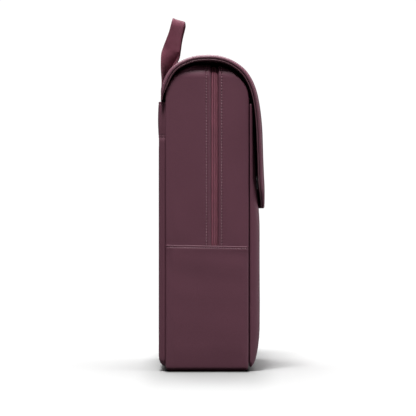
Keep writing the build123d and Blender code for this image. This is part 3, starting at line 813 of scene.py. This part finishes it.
def flap_stitch_line(distance, lift):
    """The line at a distance in from the flap's free edges, and the skin's normal there."""
    half, length, radius = FLAP_HALF - distance, FLAP_LENGTH - distance, FLAP_CORNER - distance
    left = [(p, -half) for p in np.arange(12, length - radius, 3.0)]
    left += [(length - radius + radius * math.sin(a), -half + radius - radius * math.cos(a))
             for a in np.linspace(0, math.pi / 2, 14)]
    hem = [(length, q) for q in np.arange(-half + radius + 3, half - radius, 3.0)]
    plan = np.array(left + hem + [(p, -q) for p, q in left[::-1]])
    at, n = flap_frame(plan[:, 0])
    n3 = np.stack([np.zeros(len(plan)), n[:, 0], n[:, 1]], 1)
    return np.stack([plan[:, 1], at[:, 0], at[:, 1]], 1) - n3 * lift, n3


flap_sheet("flap_shell", 3.3, 1.7, 3.0, 0.0, "outer", "outer_leather",
           ["flap_outer", "flap_foam", "flap_binding"], 21, crease=0.45)
flap_sheet("flap_inner", 6.45, 0.8, 0.0, 0.2, "inner_edge", "lining_cloth", ["flap_lining"], 22, sag=3.6)
stitches("flap_stitches", [flap_stitch_line(1.5, 1.25)], "flap", pitch=3.2, length=2.4, thick=0.42)


# ---- ribbons: handle and straps' webbing ----
HALF_EDGE = ((1, 0.55), (0.94, 1), (0.6, 1), (0.2, 1))  # a quarter of a ribbon's rounded section
RIBBON_FORM = [(-a, b) for a, b in HALF_EDGE] + [(a, b) for a, b in HALF_EDGE[::-1]]
RIBBON_FORM += [(-a, -b) for a, b in RIBBON_FORM]
RIBBON_FORM.insert(0, (-1, -0.55))
RIBBON_FORM.pop()


def ribbon(name, centre, wide, flat, width, thick, body, replaces=(), cup=0.0, curl=None):
    """A woven strap along points, with its width and thickness directions; cup bends its edges back."""
    width = np.broadcast_to(width, len(centre))
    curl = np.zeros(len(centre)) if curl is None else curl
    run = distances(centre)
    verts, uv = [], []
    for k in range(len(centre)):
        for a, b in RIBBON_FORM:
            bend = curl[k] * max(a - 0.35, 0) ** 2 / 0.42 - cup * abs(a) ** 2.5
            verts.append(centre[k] + wide[k] * a * width[k] / 2 + flat[k] * (b * thick / 2 + bend))
            uv.append((run[k], a * width[k] / 2 + (60 if b < 0 else 0)))
    faces = tube_faces(len(centre), len(RIBBON_FORM))
    piece = weld(to_piece(name, verts, faces, body, replaces, uv, sharp=50))
    return dress(piece, "webbing")


HANDLE_X, LEAN = 50.0, math.radians(14.5)
HANDLE_RISE, HANDLE_BEND = 43.0, 10.0  # of the grip over the turned legs, and the radius of its corners
LEGS = (  # height, middle front to back, turn in degrees
    (369.6, 67.4, 0), (380.0, 67.3, 0), (390.0, 66.7, 2), (400.0, 65.8, 6), (410.0, 64.4, 16),
    (421.0, 62.1, 33), (430.0, 59.6, 48), (438.0, 56.8, 70), (446.0, 53.8, 90),
)


def handle_leg():
    """The left leg from the flap's root, turned on edge: its middle, width and thickness directions."""
    legs = np.array(LEGS, float)
    z = np.linspace(legs[0, 0], legs[-1, 0], 46)
    y = np.interp(z, legs[:, 0], legs[:, 1])
    turn = np.radians(np.interp(z, legs[:, 0], legs[:, 2]))
    for _ in range(6):
        y[1:-1] = (y[:-2] + 2 * y[1:-1] + y[2:]) / 4
        turn[1:-1] = (turn[:-2] + 2 * turn[1:-1] + turn[2:]) / 4
    centre = np.stack([np.full_like(z, -HANDLE_X), y, z], 1)
    lean = LEAN * ease((z - 412) / 30)
    wide = np.stack([np.cos(turn), -np.sin(turn) * np.cos(lean), -np.sin(turn) * np.sin(lean)], 1)
    return centre, wide, unit(np.cross(unit(np.gradient(centre, axis=0)), wide))


def handle_grip(root):
    """The grip's left half, leaning back from the leg's end."""
    x, rise, radius = HANDLE_X, HANDLE_RISE, HANDLE_BEND
    plan = [(-x, h) for h in np.linspace(1.0, rise - radius, 8)]
    plan += [(-x + radius - radius * math.cos(a), rise - radius + radius * math.sin(a))
             for a in np.linspace(0, math.pi / 2, 12)[1:]]
    plan += [(q, rise + 0.8 * math.cos(q / x * math.pi / 2)) for q in np.linspace(-x + radius, 0, 12)[1:]]
    plan = np.array(plan)
    y, z = root[1] - plan[:, 1] * math.sin(LEAN), root[2] + plan[:, 1] * math.cos(LEAN)
    centre = np.stack([plan[:, 0], y, z], 1)
    wide = np.tile([0, -math.cos(LEAN), -math.sin(LEAN)], (len(plan), 1))
    return centre, wide, unit(np.cross(unit(np.gradient(centre, axis=0)), wide))


def grab_handle():
    """One webbing from the flap's root, turned on edge, over the grip and back down."""
    leg = handle_leg()
    left = [np.concatenate(pair) for pair in zip(leg, handle_grip(leg[0][-1]))]
    centre, wide, flat = (np.concatenate([half, (half * (-1, 1, 1))[::-1][1:]]) for half in left)
    curl = 1.6 * ease((centre[:, 2] - 468) / 12)
    width = 24.2 * (1 - 0.24 * ease((centre[:, 2] - 440) / 34))
    ribbon("handle_webbing", centre, wide, flat, width, 2.0, "handle", ["grab_handle"], cup=1.1, curl=curl)


grab_handle()


# ---- back: padded panels, straps, lumbar roll, yoke ----
def cushion_faces(x, z, d, low, high, roundness, power):
    """The two faces of a pad: its edges rounded over a depth, its back flat to the bag."""
    bulge = (1 - (1 - np.clip(d / roundness, 0, 1)) ** power) ** 0.5
    front = low[1] + (high[1] - low[1]) * (0.25 + 0.75 * bulge) * (d > 0)
    return np.stack([x, front, z], -1), np.stack([x, np.full_like(x, low[1]), z], -1)


def block_of(name, radius):
    """A rounded cushion form that fills a CAD node's box."""
    low, high = node_box(name)
    half, length = (high[0] - low[0]) / 2, high[2] - low[2]
    edge = np.concatenate([[0, 0.2, 0.8, 1.8], np.linspace(3, radius * 1.6, 4)])
    p, q, d = rounded_plan(length, half, (radius, radius), (edge, mids(edge[-1], length, 6.0), edge),
                           (edge, np.linspace(-0.7, 0.7, max(int(half / 3), 5))))
    return cushion_faces(q + (low[0] + high[0]) / 2, low[2] + p, d, low, high, radius * 1.1, 2.0)


def strap_form(low, high):
    """A shoulder strap's form: wide at the top, narrowing to the tip that holds its webbing."""
    tip, top, tip_half, top_half = 150.0, high[2], 16.0, (high[0] - low[0]) / 2
    edge, side = np.array([0, 0.3, 1.0, 2.2, 4]), np.array([0, 0.006, 0.03, 0.08, 0.16])
    z = tip + np.concatenate([edge, mids(4, top - tip, 5), (top - tip) - edge[::-1]])
    half = np.interp(z, [tip, tip + 6, tip + 62, top], [tip_half - 3, tip_half, top_half, top_half])
    share = np.concatenate([1 - side, np.linspace(-0.75, 0.75, 13), side - 1])
    share = np.unique(np.round(share, 6))
    q = half[:, None] * share[None]
    d = np.minimum(half[:, None] - np.abs(q), np.minimum(z - tip, top - z)[:, None])
    z = np.tile(z[:, None], (1, len(share)))
    return cushion_faces((low[0] + high[0]) / 2 + q, z, d, low, high, 5, 2)


CLOTH_FRAMES, PRESS = 20, 0.9  # the simulation's length, and how far a pad may swell past its CAD face


def foot_taper(z):
    """How thick the back's padding is at a height, as a share: it rounds in at the foot."""
    return np.sqrt(np.clip(1 - (np.clip(20.5 - z, 0, 13.4) / 13.8) ** 2, 0.03, 1))


def inflate(piece, low, high, cap, voxel):
    """Swells a pad as cloth under pressure, keeps every point within cap, and flattens it against the bag."""
    remesh = piece.modifiers.new("remesh", "REMESH")
    remesh.mode, remesh.voxel_size = "VOXEL", voxel * MM
    graph = bpy.context.evaluated_depsgraph_get()
    piece.data = bpy.data.meshes.new_from_object(piece.evaluated_get(graph))
    piece.modifiers.clear()
    start = np.array([v.co for v in piece.data.vertices])
    cloth = piece.modifiers.new("cloth", "CLOTH")
    cloth.settings.quality = 4
    cloth.settings.use_pressure = True
    cloth.settings.uniform_pressure_force = 4.0
    cloth.settings.effector_weights.gravity = 0.0
    cloth.settings.tension_stiffness = cloth.settings.compression_stiffness = 20
    cloth.point_cache.frame_start, cloth.point_cache.frame_end = 1, CLOTH_FRAMES
    for number in range(1, CLOTH_FRAMES + 1):
        bpy.context.scene.frame_set(number)
    graph = bpy.context.evaluated_depsgraph_get()
    swollen = piece.evaluated_get(graph).to_mesh()
    end = np.array([v.co for v in swollen.vertices])
    piece.modifiers.clear()
    bpy.context.scene.frame_set(1)
    move = end - start
    far = np.linalg.norm(move, axis=1, keepdims=True)
    start = start + move * np.minimum(1, cap * MM / np.maximum(far, 1e-9))
    depth = np.clip(start[:, 1], low[1] * MM, (high[1] + PRESS) * MM) - REAR * MM
    start[:, 1] = REAR * MM + depth * foot_taper(start[:, 2] / MM)
    piece.data.vertices.foreach_set("co", start.ravel())
    piece.data.update()
    piece.data.polygons.foreach_set("use_smooth", np.ones(len(piece.data.polygons), bool))
    finer = piece.modifiers.new("finer", "SUBSURF")
    finer.levels = finer.render_levels = 1
    return piece


def pad(name, node, form, cap, voxel, fill):
    """One padded piece in a CAD node's place, swelled as cloth."""
    low, high = node_box(node)
    piece = closed(name, *form, "bag", "back_mesh", [node])
    dress(inflate(piece, low, high, cap, voxel), "mesh")


def half_turn(y_back, y_front, z, reach):
    """Points of a turn from the back layer to the front one, reaching up, or down if reach is negative."""
    mid, turn = (y_back + y_front) / 2, np.linspace(0, math.pi, 9)[1:]
    return [(mid - (mid - y_back) * math.cos(a), z + reach * math.sin(a)) for a in turn]


def strap_ribbon(name, x, run, thick, replaces=()):
    """Webbing as wide as the ladder lock's slot, along pairs of front-to-back place and height."""
    line = np.array([(x, y, z) for y, z in run])
    wide = np.tile([1.0, 0, 0], (len(line), 1))
    flat = unit(np.cross(wide, unit(np.gradient(line, axis=0))))
    ribbon(name, line, wide, flat, STRAP_WIDTH, thick, "bag", replaces)


STRAP_WIDTH = 25.0
for tag in ("back_pad_left", "back_pad_right", "back_pad_centre", "lumbar_pad"):
    pad(f"{tag}_cushion", tag, block_of(tag, 6), 1.4, 3.2, 0.55)

for side in ("left", "right"):
    low, high = node_box(f"shoulder_strap_{side}")
    pad(f"strap_pad_{side}", f"shoulder_strap_{side}", strap_form(low, high), 1.2, 2.8, 0.5)
    x = (low[0] + high[0]) / 2
    web_low, web_high = node_box(f"strap_webbing_{side}")
    y_back, y_front = web_low[1] + 0.8, web_high[1] - 0.8
    bend = web_high[2] - 2.7
    run = [(y_back, web_low[2] + h) for h in np.linspace(0, bend - web_low[2], 22)]
    run += half_turn(y_back, y_front, bend, 2.2)
    run += [(y_front + 0.2 * math.sin(h / 9), bend - h) for h in np.linspace(1, 60, 20)]
    strap_ribbon(f"strap_web_{side}", x, run, 1.5, [f"strap_webbing_{side}"])
    bend = node_box(f"ladder_lock_{side}")[1][2] - 3.6
    run = [(y_back, bend + h) for h in np.linspace(12, 0, 6)]
    run += half_turn(y_back, y_front, bend, -2)
    run += [(y_front - 0.4, bend + h) for h in np.linspace(1, 12, 6)]
    strap_ribbon(f"strap_loop_{side}", x, run, 1.4)


GUSSET = (  # outwards from the pads' edge, and behind the body
    (-6, 0.2), (3.0, 0.2), (4.2, 1.0), (4.5, 2.6), (4.0, 3.6), (4.3, 4.8), (4.0, 6.6), (3.2, 8.0), (1.8, 8.8),
    (0.0, 9.0), (-2.0, 8.8), (-4.0, 8.2), (-6, 7.0),
)


def back_gusset():
    """The leather strip that closes the padding's edge, down one side, under it and up the other."""
    low, high = node_box("back_pad_right")
    half, foot, top, radius = high[0], low[2], high[2] + 8, 9.0
    down = [(-half, z, -1, 0) for z in np.linspace(top, foot + radius, 70)]
    bend = np.linspace(0, math.pi / 2, 10)[1:]
    turn = [(-half + radius * (1 - c), foot + radius * (1 - s), -c, -s)
            for c, s in zip(np.cos(bend), np.sin(bend))]
    across = [(x, foot, 0, -1) for x in np.linspace(-half + radius, 0, 24)[1:]]
    left = np.array(down + turn + across)
    path = np.concatenate([left, (left * (-1, 1, -1, 1))[::-1][1:]])
    profile = smooth_curve(GUSSET, 40)
    out, deep = profile[:, 0], profile[:, 1]
    tuck = 0.55 - 0.5 * ease((path[:, None, 1] - top + 9) / 4)
    x = path[:, None, 0] + path[:, None, 2] * out[None] * tuck
    z = path[:, None, 1] + path[:, None, 3] * out[None] * 0.35
    puff = 0.25 * np.sin(path[:, None, 1] / 23.0) * (out[None] > 0)
    y = REAR + deep[None] * foot_taper(z) + puff * (deep[None] > 4)
    points = np.stack([x, y, z], -1)
    rows, cols = points.shape[:2]
    piece = to_piece("back_gusset", points.reshape(-1, 3), tube_faces(rows, cols), "bag")
    dress(weld(piece), "outer")


back_gusset()


def back_mesh_panel():
    """The spacer mesh under the pads and the straps, with shallow sewn channels."""
    low, high = node_box("back_layer")
    x = np.linspace(low[0], high[0], 93)
    z = np.linspace(low[2], high[2], 61)
    grid_x, grid_z = np.meshgrid(x, z)
    side = np.minimum(high[0] - np.abs(grid_x), np.minimum(grid_z - low[2], high[2] - grid_z))
    puff = 0.45 * np.abs(np.sin(math.pi * grid_x / 18)) * ease(side / 6)
    outer = np.stack([grid_x, np.where(side > 0, high[1] - 0.5 + puff, low[1] + 0.4), grid_z], -1)
    inner = np.stack([grid_x, np.full_like(grid_x, low[1]), grid_z], -1)
    inner[..., 1] += 0.2 * (side <= 0)
    dress(closed("back_mesh_panel", outer, inner, "bag", "back_mesh", ["back_layer"]), "mesh")


def pull_tab():
    """The zip pull's leather tab, two layers glued and stitched round its edge."""
    low, high = node_box("zip_pull_tab")
    mid, half = (low + high) / 2, (high - low) / 2
    edge = np.array([0, 0.1, 0.3, 0.6, 1.0, 1.5])
    y = np.concatenate([edge, mids(1.5, 2 * half[1], 0.8), 2 * half[1] - edge[::-1]]) - half[1]
    z = np.concatenate([edge, mids(1.5, 2 * half[2], 1.2), 2 * half[2] - edge[::-1]]) - half[2]
    grid_y, grid_z = np.meshgrid(y, z)
    free = np.minimum(half[1] - np.abs(grid_y), half[2] - np.abs(grid_z))
    turn = np.clip(1 - 0.35 * (1 - ease((half[2] - np.abs(grid_z)) / 2.5)), 0, 1)  # the ends are rounded off
    thick = bull(np.maximum(free, 0), 0.5) * half[0] / 0.5 - 0.12 * np.exp(-(((free - 1.2) / 0.3) ** 2))
    thick = np.clip(thick, 0, half[0])
    face = np.stack([mid[0] + thick, mid[1] + grid_y * turn, mid[2] + grid_z], -1)
    back = np.stack([mid[0] - thick, mid[1] + grid_y * turn, mid[2] + grid_z], -1)
    dress(closed("pull_tab", face, back, "zip_pull", "edge_leather", ["zip_pull_tab"]), "outer")
    rows = []
    for s in (-1, 1):
        run = np.linspace(-half[2] + 3, half[2] - 3, 24)
        y = np.full(24, mid[1] + s * (half[1] - 1.3))
        line = np.column_stack([np.full(24, mid[0] + half[0] - 0.1), y, mid[2] + run])
        rows.append((line, np.tile([1, 0, 0], (24, 1))))
    stitches("pull_tab_stitches", rows, "zip_pull", pitch=2.4, length=1.7, thick=0.3)


back_mesh_panel()
pull_tab()


def yoke():
    """The band over the back's top edge, wrapped round onto the sides and slightly swollen."""
    low, high = node_box("yoke_band")
    low[2], high[2] = low[2] - 0.4, high[2] + 1.0
    half, rear, front, turn = high[0], high[1] - 0.6, REAR - 0.4, 4.5
    left = [(-half, y) for y in np.linspace(front, rear - turn, 5)]
    left += [(-half + turn - turn * math.cos(a), rear - turn + turn * math.sin(a))
             for a in np.linspace(0, math.pi / 2, 7)[1:]]
    left += [(x, rear) for x in np.linspace(-half + turn, half - turn, 60)[1:30]]
    left = np.array(left)
    plan = np.concatenate([left, (left * (-1, 1))[::-1]])
    t = unit(np.gradient(plan, axis=0))
    n = np.stack([-t[:, 1], t[:, 0], np.zeros(len(plan))], 1)
    steps = np.array([0, 0.1, 0.35, 0.8, 1.6, 2.6, 3.0, 3.5, 4.0, 4.5, 5.5])
    height = high[2] - low[2]
    z = low[2] + np.concatenate([steps, mids(5.5, height, 3.5), height - steps[::-1]])
    edge = np.minimum(z - low[2], high[2] - z)
    thick = bull(edge, 0.8)[:, None]
    out = 0.9 * np.sin(np.pi * (z - low[2]) / height) + 0.2 - 0.35 * np.exp(-(((edge - 3.5) / 0.5) ** 2))
    valley = 0.9 * np.exp(-(((plan[:, 1] - rear + turn + 1.6) / 1.1) ** 2)) * (np.abs(plan[:, 0]) > half - 1)
    out = out[:, None] - valley[None] - 0.8
    mid = np.stack(np.broadcast_arrays(plan[None, :, 0], plan[None, :, 1], z[:, None]), -1)
    outer = mid + n[None] * (out + thick)[..., None]
    inner = mid + n[None] * (out - thick)[..., None]
    dress(closed("yoke", outer, inner, "bag", "outer_leather", ["yoke_band", "yoke_core"]), "outer")
    rows = [(outer[int(np.argmin(abs(z - row)))][2:-2], n[2:-2]) for row in (low[2] + 3.5, high[2] - 3.5)]
    stitches("yoke_stitches", rows, "bag", pitch=3.6, length=2.6, thick=0.36)


yoke()


# ---- floor, light and camera ----
FLOOR_SIZE, FLOOR_SOLID, FLOOR_FADED, FLOOR_LIFT = 2.5, 0.55, 1.3, 0.18
FLOOR_COLOUR, FLOOR_IN_LIGHT = (0.37, 0.37, 0.37, 1), (0.2, 0.2, 0.2, 1)  # as seen, and to other rays
FOOT_MIDDLE, FOOT_HALF = (0, 0.0027, 0), (0.141, 0.053, 0)  # metres: where the base rests on the floor, round which the floor's shadow is painted


def vector(tree, operation, *values):
    """A vector maths node."""
    return add(tree, "ShaderNodeVectorMath", dict(enumerate(values)), operation=operation)


def shade_near(tree, place, reach_x, reach_y, darkest):
    """Painted shadow round the bag's foot: how light the floor is painted, from darkest at its edge to 1 at
    its reach.
    """
    centred = vector(tree, "SUBTRACT", place, FOOT_MIDDLE).outputs[0]
    size = vector(tree, "ABSOLUTE", centred).outputs[0]
    past = vector(tree, "SUBTRACT", size, FOOT_HALF).outputs[0]
    past = vector(tree, "MAXIMUM", past).outputs[0]
    share = vector(tree, "DIVIDE", past, (reach_x, reach_y, 1)).outputs[0]
    far = vector(tree, "LENGTH", share).outputs["Value"]
    return add(tree, "ShaderNodeMapRange", {"Value": far, "To Min": darkest},
               interpolation_type="SMOOTHSTEP").outputs["Result"]


def floor():
    """A white floor that fades into the white backdrop further out, with a shadow painted round the bag's
    foot and its camera-only glow dimmed near the bag as painted shade.
    """
    mesh = bpy.data.meshes.new("floor")
    corners = [(x * FLOOR_SIZE, y * FLOOR_SIZE, 0) for x, y in ((-1, -1), (1, -1), (1, 1), (-1, 1))]
    mesh.from_pydata(corners, [], [(0, 1, 2, 3)])
    piece = bpy.data.objects.new("floor", mesh)
    bpy.context.scene.collection.objects.link(piece)
    material, tree, shader = nodes_of("floor_white")
    seen = add(tree, "ShaderNodeLightPath").outputs["Is Camera Ray"]
    place = add(tree, "ShaderNodeTexCoord").outputs["Object"]
    # painted shadow: the floor's colour and glow are darkened round the bag's foot, black at its very edge
    # and a soft shade further out
    foot = shade_near(tree, place, 0.034, 0.008, 0.0)
    painted_shadow = calc(tree, "MULTIPLY", foot, shade_near(tree, place, 0.45, 0.05, 0.78))
    # painted shade: the floor's camera-only glow is dimmed by ambient occlusion where the bag is near
    open_sky = add(tree, "ShaderNodeAmbientOcclusion", {"Distance": 0.3}, samples=16).outputs["AO"]
    lift = calc(tree, "MULTIPLY", seen, FLOOR_LIFT)
    lift = calc(tree, "MULTIPLY", calc(tree, "POWER", open_sky, 2.0), lift)
    white = between(tree, seen, FLOOR_IN_LIGHT, FLOOR_COLOUR)
    feed(tree, shader, {
        "Base Color": between(tree, 1.0, white, painted_shadow, "MULTIPLY"),
        "Emission Strength": calc(tree, "MULTIPLY", lift, painted_shadow),
        "Emission Color": (1, 1, 1, 1),
        "Roughness": 0.9,
        "Specular IOR Level": 0.0,
    })
    away = vector(tree, "LENGTH", place).outputs["Value"]
    fade = add(tree, "ShaderNodeMapRange", {"Value": away, "From Min": FLOOR_SOLID, "From Max": FLOOR_FADED},
               interpolation_type="SMOOTHSTEP").outputs["Result"]
    clear = add(tree, "ShaderNodeBsdfTransparent").outputs[0]
    mixed = add(tree, "ShaderNodeMixShader", {0: fade, 1: shader.outputs[0], 2: clear}).outputs[0]
    feed(tree, tree.nodes["Material Output"], {"Surface": mixed})
    mesh.materials.append(material)


def area(name, place, target, size, power):
    """A rectangular lamp, in metres and watts, pointed at a target."""
    data = bpy.data.lights.new(name, "AREA")
    data.shape, data.size, data.size_y = "RECTANGLE", size[0], size[1]
    data.energy = power
    lamp = bpy.data.objects.new(name, data)
    bpy.context.scene.collection.objects.link(lamp)
    lamp.location = place
    lamp.rotation_mode = "QUATERNION"
    lamp.rotation_quaternion = (Vector(target) - Vector(place)).to_track_quat("-Z", "Y")


floor()
area("key", (-1.1, 0.25, 2.9), (-0.1, 0, 0.25), (0.6, 0.7), 122)
area("overhead", (0.1, 0.0, 2.7), (0.1, 0, 0), (1.8, 2.4), 34)
area("behind", (1.5, 0.1, 2.3), (0, 0, 0.1), (1.5, 1.5), 80)
area("rim_front", (0.9, -2.3, 0.8), (0, 0, 0.25), (0.6, 1.6), 16)
area("edge_front", (-0.75, -2.5, 0.7), (0, 0, 0.2), (0.5, 1.2), 20)
area("rim_back", (0.9, 2.3, 0.8), (0, 0, 0.25), (0.6, 1.6), 4)

AMBIENT, WHITE = 0.05, 1.05  # the backdrop's strength as light, and as the camera sees it
world = bpy.data.worlds.new("studio")
world.use_nodes = True
bpy.context.scene.world = world
tree = world.node_tree
seen = add(tree, "ShaderNodeLightPath").outputs["Is Camera Ray"]
feed(tree, tree.nodes["Background"], {"Strength": spread(tree, seen, AMBIENT, WHITE), "Color": (1, 1, 1, 1)})
bpy.context.scene.view_settings.view_transform = "Standard"
bpy.context.scene.view_settings.look = "None"

FRAME_WIDE, DISTANCE = 0.5685, 3.2  # metres: the picture's width at the bag's near side, and how far that is
SENSOR = 36
camera_data = bpy.data.cameras.new("camera")
camera = bpy.data.objects.new("camera", camera_data)
bpy.context.scene.collection.objects.link(camera)
bpy.context.scene.camera = camera
camera_data.sensor_width, camera_data.lens = SENSOR, SENSOR * DISTANCE / FRAME_WIDE
camera_data.clip_start, camera_data.clip_end = 0.1, 60
camera.location = (-HALF * MM - DISTANCE, 0.0019, 0.2235)
camera.rotation_euler = (math.radians(90), 0, math.radians(-90))
